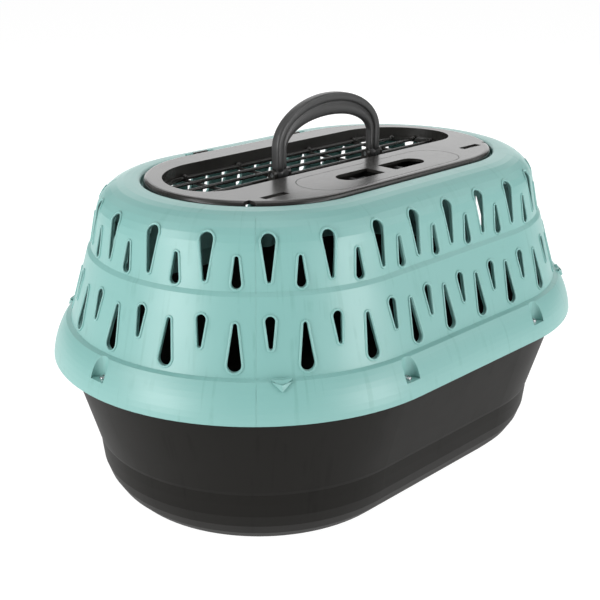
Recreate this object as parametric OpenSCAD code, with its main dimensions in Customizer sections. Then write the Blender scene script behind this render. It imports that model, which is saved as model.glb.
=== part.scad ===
// Plastic pet keeper: a dark tub, a vented upper shell screwed onto it, and a
// hinged top lid with a grille, a folding handle and a two-finger latch.
// X runs along the length, Y across it, Z up from the ground.
// Every level of the case is one stadium outline, grown outwards by a radius.

/* [Case] */
// Distance between the centres of the two round ends
end_spacing = 160; // [130:1:190]
// Radius of the flange, the widest level of the case
flange_r = 175.5; // [170:0.5:186]
// Wall thickness of the tub and the shell
wall = 2.6; // [2:0.1:3.2]
// Height of the flange's lower edge above the ground
flange_z = 134.5; // [120:0.5:160]
// Height of the rounded flange
flange_h = 30.7; // [28:0.1:33]
// Height of the lower vent band
lower_band_h = 56.3; // [52:0.1:62]
// Height of the upper vent band
upper_band_h = 28.5; // [26:0.1:34]
// Inward lean of the lower vent band, in degrees
lower_lean = 16.4; // [14:0.2:20]
// Inward lean of the upper vent band, in degrees
upper_lean = 11.5; // [9:0.2:15]
// Width of the step between the two vent bands
band_step = 3; // [1:0.1:4]
// Radius of the shell's rounded shoulder
shoulder_r = 30; // [26:0.5:34]
// Radius of the curve of the flange
flange_curve_r = 60; // [50:0.5:66]
// Width of the ledge between the flange and the lower band
ledge_in = 4.2; // [2:0.1:5]
// Radius of the rounding along the inner edge of the shell's rim
rim_round = 3; // [1:0.1:3.5]

/* [Tub] */
// Distance of the tub's side inside the flange's edge
side_inset = 34.5; // [30:0.5:38]
// Radius between the tub's side and its base
base_fillet = 50; // [40:0.5:54]
// Height of the waist, where the side starts to lean out
waist_z = 60; // [56:0.5:70]
// Outward lean of the tub's side above the waist, in degrees
tub_lean = 16.2; // [12:0.2:18]
// Depth of the recess under the base
base_recess = 2; // [1:0.1:3]
// Width of the ring that the tub rests on
foot_w = 6; // [4:0.5:9]
// Thickness of the rim that carries the shell
rim_t = 3; // [2.5:0.1:4]
// Gap between the tub's rim and the shell's flange
rim_gap = 0.8; // [0.4:0.1:1.2]
// Height of the lip round the tub's opening
lip_h = 5; // [3:0.5:7]

/* [Vents] */
// Vents in a quarter of each round end, counting half of the one at the tip
vents_per_quarter = 4.5; // [3.5:1:4.5]
// Angle between neighbouring vents on the round ends
vent_angle = 19.6; // [18.5:0.1:19.8]
// Height of a large vent
large_h = 34.5; // [28:0.5:36]
// Radius of a large vent's round end
large_r = 5.4; // [4:0.1:6]
// Height of a small vent
small_h = 23.5; // [18:0.5:26]
// Radius of a small vent's round end
small_r = 3.8; // [3:0.1:4.5]
// Radius of every vent's narrow end
point_r = 1.6; // [1.2:0.1:2]
// Height of the lower band left under its large vents
vent_foot = 3.6; // [3:0.1:7]
// Height of the upper band left under its vents
upper_foot = 1.8; // [1.5:0.1:6]

/* [Case screws] */
// Distance of the screws inside the flange's edge
screw_inset = 9.5; // [8.5:0.5:10.5]
// Radius of the scoop that the screw sits in
scoop_r = 7.7; // [6:0.1:8]
// Distance of the scoop's centre inside the flange's edge
scoop_inset = 5.5; // [4:0.1:6.5]
// Angle of the side screws outside the ends of the straight sides
screw_turn = 1.8; // [0:0.1:3]
// Height of the scoop's floor above the flange's lower edge
scoop_z = 13; // [11:0.5:14]
// Radius of the screw's head
screw_head_r = 3.2; // [2.6:0.1:3.8]
// Radius of the screw's shank
screw_r = 1.5; // [1.2:0.1:1.8]
// Width of the lugs at the foot of the lower band
lug_w = 15; // [8:0.5:18]

/* [Lid] */
// Radius of the lid's outline
lid_r = 95; // [90:0.5:98]
// Gap between the lid's edge and the shell
lid_gap = 2; // [1.5:0.1:3]
// Height of the lid's top above the top of the shell
lid_rise = 2.2; // [1.5:0.1:4]
// Thickness of the lid's plate
lid_t = 3; // [2.5:0.1:4]
// Depth of the lid's edge
skirt_h = 8.5; // [7:0.5:10]
// Thickness of the lid's edge
skirt_t = 2.8; // [2:0.1:3.5]
// Radius of the rounding along the lid's edge
lid_round = 4; // [2:0.5:4.5]
// Width of the shell's ledge under the lid
ledge_w = 7.5; // [6:0.5:8]

/* [Window] */
// Distance from the lid's long centre line to the window's far side
window_far = 66.7; // [62:0.1:70]
// Distance from the lid's long centre line to the window's near side
window_near = 26.6; // [24:0.1:29]
// Radius of the window's far corners
window_far_r = 62; // [56:0.5:64]
// Radius of the window's near corners
window_near_r = 32; // [28:0.5:32]
// Distance between the window's ends and the lid's ends
window_margin = 14; // [12:0.5:24]
// Thickness of the wall round the window
window_wall = 2.4; // [2:0.1:3]
// Depth of the window, from the lid's top to the grille's seat
window_depth = 12; // [12:0.5:14]
// Radius of the grille's bars
bar_r = 1.4; // [1.2:0.1:1.8]
// Distance between the grille's long bars
bar_pitch = 18.2; // [16:0.1:19]
// Number of long bars
bar_count = 5; // [4:1:5]
// Distance of the nearest long bar from the lid's long centre line
bar_near = 9.4; // [8.5:0.1:9.8]
// Distances of the cross bars from the middle
cross_x = [45, 107.4];

/* [Handle] */
// Width of the handle across its feet
handle_w = 129; // [116:1:132]
// Height of the handle above its pivots
handle_h = 60.5; // [54:0.5:62]
// Width of a leg at its foot
leg_w = 12; // [10:0.5:14]
// Height of the grip in the middle
grip_h = 19; // [16:0.5:22]
// Thickness of the handle's outer band
handle_t = 9; // [7:0.5:9.5]
// Width of the outer band
outer_band_w = 7; // [5:0.5:8]
// Depth that the inner band lies below the outer band
inner_recess = 1.2; // [0.6:0.1:2]
// Distance of the pivots in front of the lid's long centre line
pivot_y = 2; // [1:0.5:3]
// Depth of the pivots below the lid's top
pivot_sink = 4; // [3.5:0.5:4.5]
// Radius of the handle's pins
pin_r = 2; // [1.5:0.1:2.4]
// Thickness of each cheek beside a foot
cheek_t = 3.4; // [2.5:0.1:4]
// Gap between a foot and its cheeks
cheek_gap = 0.5; // [0.3:0.1:0.8]

/* [Latch] */
// Distance of the latch in front of the lid's long centre line
latch_y = 62.8; // [62:0.1:64]
// Distance between the centres of the cover's round ends
cover_spacing = 132; // [126:1:134]
// Radius of the latch cover's ends
cover_r = 24.5; // [22:0.5:25]
// Thickness of the latch cover
cover_t = 2.6; // [2:0.1:2.6]
// Gap round the latch cover
cover_gap = 0.5; // [0.3:0.1:0.8]
// Half width of the bridge between the finger holes
bridge_half = 7; // [6:0.5:8]
// Radius of a finger hole's round end
finger_r = 10.5; // [9:0.5:12]
// Length of a finger hole
finger_len = 44; // [40:0.5:46]
// Travel of each latch slide
latch_travel = 9; // [8.5:0.1:9.5]
// Distance of a finger pad's face from the middle
pad_x = 31; // [28:0.5:32]
// Thickness of a finger pad
pad_t = 4; // [3:0.5:5]
// Width of the bolt
bolt_w = 7; // [6:0.5:8]
// Thickness of the bolt
bolt_t = 3.6; // [3:0.1:4]
// Reach of the bolt's tip past the lid's edge
bolt_lap = 7.8; // [7.2:0.1:8]
// Width of the slots in the lid
slot_w = 7; // [6:0.5:8]
// Length of the slots in the lid
slot_len = 25; // [20:0.5:27]
// Distance of the slots from the middle of the lid
slot_x = 124; // [121:0.5:125]
// Number of turns of the latch spring
spring_turns = 8; // [6:1:10]
// Radius of the latch spring's wire
wire_r = 0.55; // [0.4:0.05:0.6]
// Mean radius of the latch spring
spring_r = 3.2; // [2.8:0.1:3.4]

/* [Hinge] */
// Distance of each hinge from the middle
hinge_x = 59; // [28:1:60]
// Length of a hinge
hinge_len = 30; // [20:0.5:30]
// Radius of a hinge's barrel
barrel_r = 2.8; // [2.6:0.1:3.2]
// Radius of a hinge pin
hinge_pin_r = 1.5; // [1.2:0.1:1.6]
// Distance of the hinge's axis outside the lid's edge
hinge_out = 4.7; // [4.5:0.1:5]

/* [Fits] */
// Gap between pieces that slide on each other
slide_gap = 0.4; // [0.3:0.05:0.5]
// Gap between a turning pin and its bore, on the radius
pin_gap = 0.06; // [0.03:0.01:0.09]
// Gap between a fixed pin and its bore, on the radius
seat_gap = 0.02; // [0.01:0.01:0.03]

/* [Hidden] */
$fn = 72;

arc_steps = 7;
end_x = end_spacing / 2;
cut = 1;

// Levels of the shell, from the flange upwards
junction_z = flange_z + flange_h;
step_z = junction_z + lower_band_h;
shoulder_z = step_z + band_step + upper_band_h;
flange_drop = 6.6;
ledge_rise = 1.2;
flange_arc_x = flange_r - sqrt(pow(flange_curve_r, 2) - pow(flange_drop, 2));
flange_arc_z = flange_z - flange_drop;
flange_top_z = junction_z - ledge_rise;
flange_top_r = flange_arc_x + sqrt(pow(flange_curve_r, 2) - pow(flange_top_z - flange_arc_z, 2));
junction_r = flange_top_r - ledge_in;
lower_top_r = junction_r - lower_band_h * tan(lower_lean);
upper_foot_r = lower_top_r - band_step;
upper_top_r = upper_foot_r - upper_band_h * tan(upper_lean);
shoulder_x = upper_top_r - shoulder_r * cos(upper_lean);
shell_top_z = shoulder_z + shoulder_r * (1 - sin(upper_lean));

// Levels of the lid
lid_top = shell_top_z + lid_rise;
lid_under = lid_top - lid_t;
opening_r = lid_r + lid_gap;
window_half = end_x + lid_r - window_margin;
bolt_edge_x = end_x + sqrt(pow(lid_r, 2) - pow(latch_y, 2));
bolt_reach = bolt_edge_x + bolt_lap;
skirt_z = lid_top - skirt_h;
ledge_z = skirt_z - 0.5;
ledge_t = 2.6;
seat_z = lid_top - window_depth;
seat_lip_t = 1.3;
seat_lip_w = 1.6;
grille_gap = 0.4;
ring_w = 2.6;
ring_t = 3;
bar_z = seat_z + bar_r;
cross_z = bar_z - 1.5 * bar_r;

// Levels of the tub
side_r = flange_r - side_inset;
base_r = side_r - base_fillet;
rim_z = flange_z + 1.5;
rim_r = flange_arc_x + sqrt(pow(flange_curve_r - wall, 2) - pow(rim_z + rim_t - flange_arc_z, 2)) - rim_gap;
tub_top_r = side_r + 2 + (rim_z - 4 - waist_z - 2) * tan(tub_lean);

// Screws that hold the shell on the tub
screw_ring_r = flange_r - screw_inset;
scoop_floor = flange_z + scoop_z;
boss_top = scoop_floor - wall;
boss_r = 3.5;

// Handle
pivot_z = lid_top - pivot_sink;
foot_in = handle_w / 2 - leg_w;
foot_out = handle_w / 2;
cheek_r = pivot_sink;
pin_recess = 0.8;
beam_z = seat_z - 8.5;
beam_t = 5.4;

// Latch
cover_ledge = lid_top - cover_t;
bolt_top = cover_ledge - 2 - slide_gap;
bolt_z = bolt_top - bolt_t;
tray_z = lid_top - 21;
tray_t = 2;
arm_z = tray_z + slide_gap;
arm_t = 4;
arm_w = 6;
hub_z = arm_z + arm_t;
hub_w = 12;
hub_in = pad_x - pad_t - 13.5;
spring_z = lid_top - 11;
spring_half = hub_in + 1.5;
riser_x = 56;
post_x = 57;
post_y = 14;
post_r = 3.5;
latch_screw_r = 1.4;
latch_head_r = 2.8;
latch_screw_len = 11;
box_r = 19.2;
box_t = 1.4;
drain_x = pad_x + 14;
drain_len = 10;
drain_w = 5;

// Hinge
hinge_y = lid_r + hinge_out;
hinge_z = shell_top_z - 1.2;
knuckle_half = hinge_len / 2 - 6.8;

function unit(v) = v / norm(v);
function normal(a, b) = let (u = unit(b - a)) [-u[1], u[0]];
// Path moved sideways by d, to the left of its direction
function inset(path, d) = [
    for (i = [0 : len(path) - 1])
        let (
            before = i > 0 ? normal(path[i - 1], path[i]) : normal(path[i], path[i + 1]),
            after = i < len(path) - 1 ? normal(path[i], path[i + 1]) : before
        )
        path[i] + (before + after) * d / (1 + before * after)
];
function backwards(path) = [for (i = [len(path) - 1 : -1 : 0]) path[i]];
function arc(centre, r, from, to, steps = arc_steps) = [
    for (i = [0 : steps]) centre + r * [cos(from + (to - from) * i / steps), sin(from + (to - from) * i / steps)]
];

// Outer side of the shell, from the flange's lower edge to the shoulder's top
flange_foot_angle = asin(flange_drop / flange_curve_r);
flange_end_angle = asin((flange_top_z - flange_arc_z) / flange_curve_r);
shell_path = concat(
    arc([flange_arc_x, flange_arc_z], flange_curve_r, flange_foot_angle, flange_end_angle),
    [[junction_r, junction_z], [lower_top_r, step_z], [upper_foot_r, step_z + band_step]],
    arc([shoulder_x, shoulder_z - shoulder_r * sin(upper_lean)], shoulder_r, upper_lean, 90)
);

// Outer side of the tub, from the base to just under its rim
tub_path = concat(
    arc([base_r, base_fillet], base_fillet, -90, 0),
    [[side_r + 0.7, waist_z - 1], [side_r + 2, waist_z + 2], [tub_top_r, rim_z - 4]]
);

// A profile drawn at (radius, height), swept round the stadium outline
module stadium_sweep() {
    for (side = [-1, 1])
        translate([side * end_x, 0, 0])
            rotate([0, 0, side > 0 ? -90 : 90])
                rotate_extrude(angle = 180)
                    children();
    for (side = [0, 1])
        translate([-end_x, 0, 0])
            mirror([0, side, 0])
                rotate([90, 0, 90])
                    linear_extrude(end_spacing)
                        children();
}

// A stadium-shaped plate
module stadium(spacing, r, z0, z1) {
    for (side = [-1, 1])
        translate([side * spacing / 2, 0, z0])
            cylinder(r = r, h = z1 - z0);
    translate([-spacing / 2, -r, z0])
        cube([spacing, 2 * r, z1 - z0]);
}

// Places its children at every screw, with X pointing outwards
module at_screws() {
    for (side = [-1, 1]) {
        translate([side * end_x, 0, 0])
            rotate([0, 0, side > 0 ? 0 : 180])
                children();
        for (across = [-1, 1])
            translate([side * end_x, 0, 0])
                rotate([0, 0, side > 0 ? across * (90 - screw_turn) : 180 - across * (90 - screw_turn)])
                    children();
    }
}

// Vents

vent_top_r = junction_r + cut;
straight_pitch = (end_x + junction_r * cos(vents_per_quarter * vent_angle)) / 2;

// A drop-shaped outline from height 0 to h, with its round end at the bottom.
// Its straight sides meet the circles a hair inside them.
module drop(h, r) {
    lean = asin((r - point_r) / (h - r - point_r));
    hair = 0.04;
    translate([0, r])
        circle(r);
    translate([0, h - point_r])
        circle(point_r);
    polygon([
        for (end = [[r, r], [point_r, h - point_r]])
            for (side = end[0] == r ? [-1, 1] : [1, -1])
                [side * (end[0] - hair) * cos(lean), end[1] + end[0] * sin(lean)]
    ]);
}

// A cutter through the wall, pointing outwards along X
module vent(z, h, r, point_up, inner_r, outer_r) {
    translate([inner_r, 0, z + (point_up ? 0 : h)])
        rotate([90, 0, 90])
            linear_extrude(outer_r - inner_r)
                mirror([0, point_up ? 0 : 1])
                    drop(h, r);
}

// Children placed round the case, on the tips (offset 0) or between them (offset 0.5)
module round_case(offset) {
    count = floor(vents_per_quarter - offset);
    for (side = [-1, 1])
        for (i = [-count - (offset > 0 ? 1 : 0) : count])
            translate([side * end_x, 0, 0])
                rotate([0, 0, (side > 0 ? 0 : 180) + (i + offset) * vent_angle])
                    children();
    for (across = [-1, 1])
        for (k = offset > 0 ? [-1 : 1] : [-1.5 : 1 : 1.5])
            translate([k * straight_pitch, 0, 0])
                rotate([0, 0, across * 90])
                    children();
}

module vents() {
    low = junction_z + vent_foot;
    low_top = low + large_h + 5;
    high = step_z + band_step + upper_foot;
    round_case(0) {
        union() {
            vent(low, large_h, large_r, true, upper_foot_r - 12, vent_top_r);
            vent(high, small_h, small_r, true, upper_top_r - 12, lower_top_r + cut);
        }
    }
    round_case(0.5) {
        union() {
            vent(low_top - small_h, small_h, small_r, false, upper_foot_r - 12, vent_top_r);
            vent(high + 4.5, large_h, large_r, false, upper_top_r - 12, lower_top_r + cut);
        }
    }
}

// Case

module lower_tub() color([0.17, 0.17, 0.165]) {
    inner = backwards(inset(tub_path, wall));
    difference() {
        union() {
            stadium_sweep()
                polygon(concat(
                    [[0, base_recess], [base_r - foot_w - 2, base_recess], [base_r - foot_w, 0]],
                    tub_path,
                    [[tub_top_r + 1, rim_z], [rim_r, rim_z], [rim_r, rim_z + rim_t],
                     [tub_top_r + 1, rim_z + rim_t], [tub_top_r + 1, rim_z + rim_t + lip_h],
                     [tub_top_r - 1.4, rim_z + rim_t + lip_h]],
                    inner,
                    [[0, base_recess + wall]]
                ));
            at_screws()
                translate([screw_ring_r, 0, rim_z + rim_t / 2])
                    cylinder(r = boss_r, h = boss_top - rim_z - rim_t / 2);
        }
        at_screws()
            translate([screw_ring_r, 0, rim_z - cut])
                cylinder(r = screw_r + seat_gap, h = boss_top - rim_z + 2 * cut);
    }
}

module upper_shell() color([0.53, 0.72, 0.69]) {
    rim_inner = opening_r + wall;
    difference() {
        union() {
            stadium_sweep()
                polygon(concat(
                    shell_path,
                    arc([opening_r + rim_round, shell_top_z - rim_round], rim_round, 90, 180, 4),
                    [[opening_r, ledge_z], [opening_r - ledge_w, ledge_z],
                     [opening_r - ledge_w, ledge_z - ledge_t], [rim_inner, ledge_z - ledge_t],
                     [rim_inner, shell_top_z - wall]],
                    backwards(inset(shell_path, wall))
                ));
            screw_pockets();
            shell_lugs();
            for (side = [-1, 1])
                translate([side * hinge_x, 0, 0])
                    shell_hinge();
        }
        at_screws() {
            translate([flange_r - scoop_inset, 0, scoop_floor])
                cylinder(r = scoop_r, h = flange_h);
            translate([screw_ring_r, 0, scoop_floor - wall - cut])
                cylinder(r = screw_r + slide_gap, h = wall + 2 * cut);
        }
        vents();
        for (side = [-1, 1]) {
            bolt_pocket(side);
            translate([side * hinge_x, 0, 0])
                hinge_pocket();
        }
    }
}

// The solid material under the shell's outer side, used to trim what is added inside it
module shell_solid() {
    stadium_sweep()
        polygon(concat(
            [[flange_r - 30, flange_z]],
            arc([flange_arc_x, flange_arc_z], flange_curve_r, flange_foot_angle, flange_end_angle),
            [[junction_r, junction_z], [flange_r - 30, junction_z]]
        ));
}

// Closed pockets behind the scoops, so that the flange has no hole there
module screw_pockets() {
    intersection() {
        shell_solid();
        at_screws()
            translate([flange_r - scoop_inset, 0, scoop_floor - wall])
                cylinder(r = scoop_r + wall, h = flange_h);
    }
}

// Small wedges that point down from the foot of the lower band
module shell_lugs() {
    lug_angle = 51.5;
    tilt = 36;
    for (side = [-1, 1])
        for (across = [-1, 1])
            translate([side * end_x, 0, 0])
                rotate([0, 0, side > 0 ? across * lug_angle : 180 - across * lug_angle])
                    translate([flange_arc_x, 0, flange_arc_z])
                        rotate([0, 90 - tilt, 0])
                            translate([0, 0, flange_curve_r - 1.5])
                                linear_extrude(3)
                                    polygon([[-3, -lug_w / 2], [-2, 0], [-3, lug_w / 2], [5, 0.5], [5, -0.5]]);
}

// Block and barrels that carry a hinge pin
module shell_hinge() {
    translate([-hinge_len / 2 - 3, opening_r, ledge_z])
        cube([hinge_len + 6, hinge_y + barrel_r + 2 - opening_r, shell_top_z - 1.2 - ledge_z]);
    translate([-hinge_len / 2, hinge_y, hinge_z])
        rotate([0, 90, 0])
            cylinder(r = barrel_r, h = hinge_len);
}

// Room for the lid's hinge knuckle, and the bore for the pin
module hinge_pocket() {
    half = knuckle_half + slide_gap;
    translate([-hinge_len / 2 - cut, hinge_y, hinge_z])
        rotate([0, 90, 0])
            cylinder(r = hinge_pin_r + seat_gap, h = hinge_len + 2 * cut);
    room = barrel_r + 0.6;
    translate([-half, opening_r - cut, hinge_z - room])
        cube([2 * half, hinge_y + room - opening_r + cut, 2 * room + cut]);
}

// Opening in the shell's rim that the bolt's tip goes into
module bolt_pocket(side) {
    inner = end_x + sqrt(pow(lid_r, 2) - pow(latch_y + bolt_w, 2));
    bolt_room = bolt_reach + 2 - inner;
    translate([side > 0 ? inner : -inner - bolt_room, -latch_y - bolt_w / 2 - slide_gap, ledge_z + 0.1])
        cube([bolt_room, bolt_w + 2 * slide_gap, bolt_top - ledge_z + 0.6]);
}

module case_screws() color([0.75, 0.76, 0.77]) {
    head_h = 2.4;
    at_screws()
        translate([screw_ring_r, 0, 0]) {
            translate([0, 0, scoop_floor])
                cylinder(r1 = screw_head_r, r2 = screw_head_r * 0.7, h = head_h);
            translate([0, 0, rim_z + 0.5])
                cylinder(r = screw_r, h = scoop_floor - rim_z);
        }
}

// Lid

// The window's outline grown by d, from z0 to z1
module window_solid(d, z0, z1) {
    far_x = window_half - window_far_r;
    near_x = window_half - window_near_r;
    corner_y = window_near_r - window_near;
    intersection() {
        translate([0, window_far - window_far_r, 0])
            stadium(2 * far_x, window_far_r + d, z0, z1);
        translate([-window_half - 10, corner_y, z0 - cut])
            cube([2 * window_half + 20, window_far + 10, z1 - z0 + 2 * cut]);
    }
    intersection() {
        translate([0, corner_y, 0])
            stadium(2 * near_x, window_near_r + d, z0, z1);
        translate([-window_half - 10, -window_near - 10, z0 - cut])
            cube([2 * window_half + 20, window_near + 10 + corner_y, z1 - z0 + 2 * cut]);
    }
}

module lid_frame() color([0.24, 0.24, 0.24]) {
    difference() {
        union() {
            stadium_sweep()
                polygon(concat(
                    [[0, lid_under], [lid_r - skirt_t, lid_under], [lid_r - skirt_t, skirt_z], [lid_r, skirt_z]],
                    arc([lid_r - lid_round, lid_top - lid_round], lid_round, 0, 90, 4),
                    [[0, lid_top]]
                ));
            window_solid(window_wall, seat_z - seat_lip_t, lid_under + cut);
            translate([0, -latch_y, 0])
                stadium(cover_spacing, cover_r + cover_gap + 2.5, cover_ledge - 2, lid_under + cut);
            for (side = [-1, 1])
                translate([side * hinge_x, 0, 0])
                    lid_knuckle();
        }
        window_solid(0, seat_z, lid_top + cut);
        window_solid(-seat_lip_w, seat_z - seat_lip_t - cut, lid_top + cut);
        translate([0, -latch_y, 0]) {
            stadium(cover_spacing, cover_r + cover_gap, cover_ledge, lid_top + cut);
            stadium(cover_spacing, cover_r - 5, cover_ledge - 2 - cut, lid_top + cut);
        }
        for (side = [-1, 1]) {
            translate([side * slot_x - slot_len / 2, -latch_y - slot_w / 2, lid_under - cut])
                cube([slot_len, slot_w, lid_t + 2 * cut]);
            lid_notches(side);
            translate([side * hinge_x, hinge_y, hinge_z])
                rotate([0, 90, 0])
                    cylinder(r = hinge_pin_r + pin_gap, h = hinge_len, center = true);
        }
    }
    difference() {
        for (side = [-1, 1])
            handle_bracket(side);
        translate([-handle_w, -pivot_y, pivot_z])
            rotate([0, 90, 0])
                cylinder(r = pin_r + seat_gap, h = 2 * handle_w);
    }
}

// Barrel of the lid's hinge, with the arm that carries it
module lid_knuckle() {
    translate([-knuckle_half, hinge_y, hinge_z])
        rotate([0, 90, 0])
            cylinder(r = barrel_r, h = 2 * knuckle_half);
    translate([-knuckle_half, lid_r - 5, hinge_z - barrel_r])
        cube([2 * knuckle_half, hinge_out + 5, barrel_r - 0.4]);
}

// Nicks in the lid's edge: two where the bolts come out and two at the back
module lid_notches(side) {
    far_x = end_x + 30;
    far_y = sqrt(pow(lid_r, 2) - pow(far_x - end_x, 2));
    translate([side * bolt_edge_x - 4.5, -latch_y - bolt_w / 2 - slide_gap, skirt_z - cut])
        cube([9, bolt_w + 2 * slide_gap, skirt_h + 2 * cut]);
    translate([side * (bolt_edge_x - 2) - 8, -latch_y - bolt_w / 2 - slide_gap, skirt_z - cut])
        cube([16, bolt_w + 2 * slide_gap, lid_under - skirt_z + cut]);
    translate([side * far_x, far_y, skirt_z - cut])
        rotate([0, 0, side * -18])
            translate([-4, -2.5, 0])
                cube([8, 6, skirt_h + 2 * cut]);
}

// Beam under the window with the two cheeks that hold a foot of the handle
module handle_bracket(side) {
    back = cheek_r - pivot_y;
    front = -cheek_r - pivot_y;
    wall_y = -window_near - window_wall;
    inner = foot_in - cheek_gap - cheek_t;
    outer = foot_out + cheek_gap;
    for (x = [inner, outer])
        translate([side > 0 ? x : -x - cheek_t, 0, 0])
            rotate([90, 0, 90])
                linear_extrude(cheek_t)
                    polygon(concat(
                        [[wall_y, lid_under + 0.5], [wall_y, beam_z], [back, beam_z]],
                        arc([-pivot_y, pivot_z], cheek_r, 0, 180, 12),
                        [[front, beam_z + beam_t], [-window_near, beam_z + beam_t],
                         [-window_near, lid_under + 0.5]]
                    ));
    translate([side > 0 ? inner : -outer - cheek_t, wall_y, beam_z])
        cube([outer + cheek_t - inner, back - wall_y, 2]);
}

module window_grille() color([0.2, 0.2, 0.2]) {
    difference() {
        window_solid(-grille_gap, seat_z, seat_z + ring_t);
        window_solid(-grille_gap - ring_w, seat_z - cut, seat_z + ring_t + cut);
    }
    intersection() {
        window_solid(-grille_gap - 1, bar_z - 2 * bar_r, bar_z + 2 * bar_r);
        for (i = [0 : bar_count - 1])
            translate([-window_half, -bar_near + i * bar_pitch, bar_z])
                rotate([0, 90, 0])
                    cylinder(r = bar_r, h = 2 * window_half);
    }
    intersection() {
        window_solid(-seat_lip_w - 0.4, cross_z - 2 * bar_r, cross_z + 2 * bar_r);
        for (side = [-1, 1])
            for (x = cross_x)
                translate([side * x, -window_near - 1, cross_z])
                    rotate([-90, 0, 0])
                        cylinder(r = bar_r, h = window_near + window_far + 2);
    }
}

// Pins of the hinge and of the handle

module hinge_pin(side) color([0.62, 0.63, 0.64])
    translate([side * hinge_x, hinge_y, hinge_z])
        rotate([0, 90, 0])
            cylinder(r = hinge_pin_r, h = hinge_len, center = true);

module hinge_pin_left() hinge_pin(-1);
module hinge_pin_right() hinge_pin(1);

module handle_pin(side) color([0.62, 0.63, 0.64])
    translate([side * (foot_in + leg_w / 2), -pivot_y, pivot_z])
        rotate([0, 90, 0])
            cylinder(r = pin_r, h = leg_w + 2 * (cheek_gap + cheek_t - pin_recess), center = true);

module handle_pin_left() handle_pin(-1);
module handle_pin_right() handle_pin(1);

// Handle

arch_steps = 28;
spring_line = 0.35;

// Half ellipse of an arch whose feet are half_w out and whose top is at rise
function arch(half_w, rise, foot) = [
    for (i = [0 : arch_steps])
        let (a = 180 * i / arch_steps)
        [half_w * cos(a), foot + (rise - foot) * sin(a)]
];

// A band of the handle between two arches, drawn from pivot height up
module arch_band(outer_w, outer_top, outer_foot, inner_w, inner_top, inner_foot) {
    polygon(concat(
        [[outer_w, 0]],
        arch(outer_w, outer_top, outer_foot),
        [[-outer_w, 0], [-inner_w, 0]],
        backwards(arch(inner_w, inner_top, inner_foot)),
        [[inner_w, 0]]
    ));
}

module handle() color([0.3, 0.3, 0.3]) {
    outer_foot = handle_h * spring_line;
    mid_w = foot_out - outer_band_w;
    mid_top = handle_h - outer_band_w;
    difference() {
        translate([0, -pivot_y, pivot_z])
            rotate([90, 0, 0]) {
                translate([0, 0, -handle_t / 2])
                    linear_extrude(handle_t)
                        arch_band(foot_out, handle_h, outer_foot, mid_w, mid_top, outer_foot);
                translate([0, 0, inner_recess - handle_t / 2])
                    linear_extrude(handle_t - 2 * inner_recess)
                        arch_band(mid_w + 0.5, mid_top + 0.5, outer_foot,
                                  foot_in, handle_h - grip_h, outer_foot - 2);
                for (side = [-1, 1])
                    translate([side * (foot_in + leg_w / 2), 0, 0])
                        rotate([0, 90, 0])
                            cylinder(r = handle_t / 2, h = leg_w, center = true);
            }
        translate([-handle_w, -pivot_y, pivot_z])
            rotate([0, 90, 0])
                cylinder(r = pin_r + pin_gap, h = 2 * handle_w);
    }
}

// Latch

// Outline of a finger hole: straight at the bridge, round at the outer end
module finger_hole(side, z0, z1) {
    round_x = bridge_half + finger_len - finger_r;
    translate([side * round_x, 0, z0])
        cylinder(r = finger_r, h = z1 - z0);
    translate([side > 0 ? bridge_half : -round_x, -finger_r, z0])
        cube([round_x - bridge_half, 2 * finger_r, z1 - z0]);
}

module latch_cover() color([0.24, 0.24, 0.24])
    translate([0, -latch_y, 0])
        difference() {
            union() {
                stadium(cover_spacing, cover_r, cover_ledge, lid_top);
                for (x = [-post_x, post_x])
                    for (y = [-post_y, post_y])
                        translate([x, y, tray_z])
                            cylinder(r = post_r, h = cover_ledge - tray_z + cut);
            }
            for (side = [-1, 1])
                finger_hole(side, cover_ledge - cut, lid_top + cut);
            for (x = [-post_x, post_x])
                for (y = [-post_y, post_y])
                    translate([x, y, tray_z - cut])
                        cylinder(r = latch_screw_r + seat_gap, h = latch_screw_len + cut);
        }

// Wall round the latch, open at the top, with a slot for each bolt
module latch_box_wall() {
    slot_half = bolt_w / 2 + 2 * slide_gap;
    difference() {
        stadium(2 * post_x, box_r, tray_z - cut / 2, cover_ledge - slide_gap);
        stadium(2 * post_x, box_r - box_t, tray_z - cut, cover_ledge + cut);
        for (side = [-1, 1])
            translate([side > 0 ? post_x : -post_x - box_r - cut, -slot_half, bolt_z - slide_gap])
                cube([box_r + cut, 2 * slot_half, bolt_top - bolt_z + 4]);
    }
}

module latch_tray() color([0.2, 0.2, 0.2])
    translate([0, -latch_y, 0])
        difference() {
            union() {
                stadium(2 * post_x, box_r, tray_z - tray_t, tray_z);
                latch_box_wall();
                for (x = [-post_x, post_x])
                    for (y = [-post_y, post_y])
                        translate([x, y, tray_z - tray_t])
                            cylinder(r = post_r + 1.5, h = tray_t);
                for (side = [-1, 1])
                    for (y = [-1, 1])
                        translate([side * (pad_x + 5) - 4, y * (arm_w / 2 + slide_gap + 1) - 1, tray_z - 0.5])
                            cube([8, 2, arm_t + 0.5]);
                translate([-2, -5, tray_z - 0.5])
                    cube([4, 10, spring_z - spring_r - wire_r - tray_z + 0.5]);
            }
            for (side = [-1, 1])
                for (y = [-1, 1])
                    translate([side * drain_x - drain_len / 2, y * 8.5 - drain_w / 2, tray_z - tray_t - cut])
                        cube([drain_len, drain_w, tray_t + 2 * cut]);
            for (x = [-post_x, post_x])
                for (y = [-post_y, post_y])
                    translate([x, y, tray_z - tray_t - cut])
                        cylinder(r = latch_screw_r + slide_gap, h = tray_t + 2 * cut);
        }

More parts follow.
